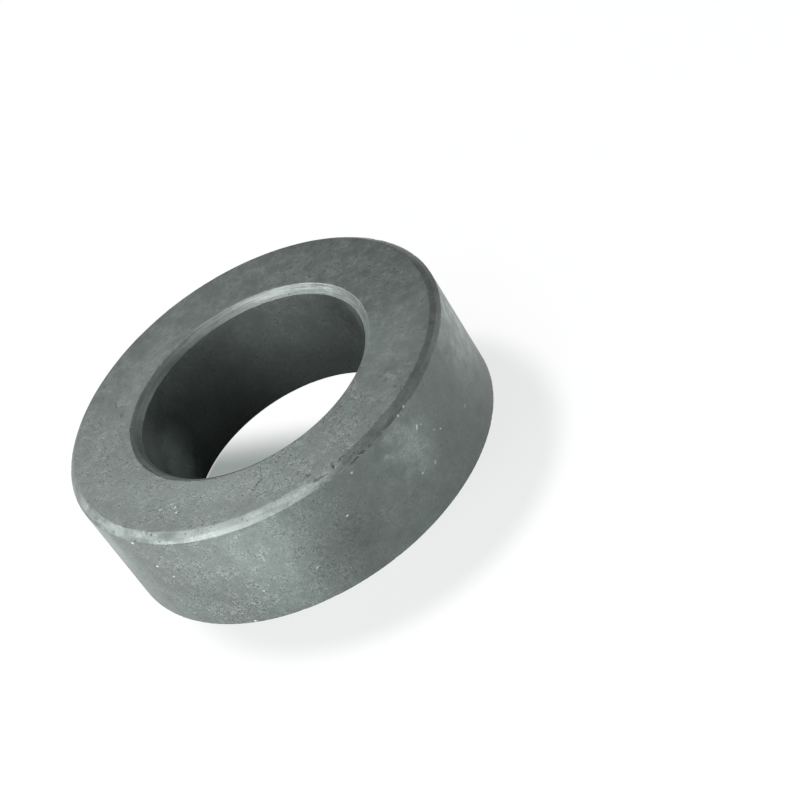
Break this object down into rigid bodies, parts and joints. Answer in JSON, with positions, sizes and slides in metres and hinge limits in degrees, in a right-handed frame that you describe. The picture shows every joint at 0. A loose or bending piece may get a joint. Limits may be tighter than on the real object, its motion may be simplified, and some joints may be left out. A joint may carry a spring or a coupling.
{
  "type": "ferrite ring core",
  "caption": "Plain dark grey ferrite ring with a wide round bore and chamfered rims, used as the core of a choke or transformer.",
  "frame": {"origin": "centre of the ring's lower flat face", "axes": "+Z along the bore axis, from the lower face to the chamfered upper face; X and Y are free, because the ring is round"},
  "size_m": [0.06, 0.06, 0.0184],
  "materials": {
    "ferrite": "matte"
  },
  "bodies": {
    "root": {"ring_core": "ferrite"}
  },
  "joints": []
}
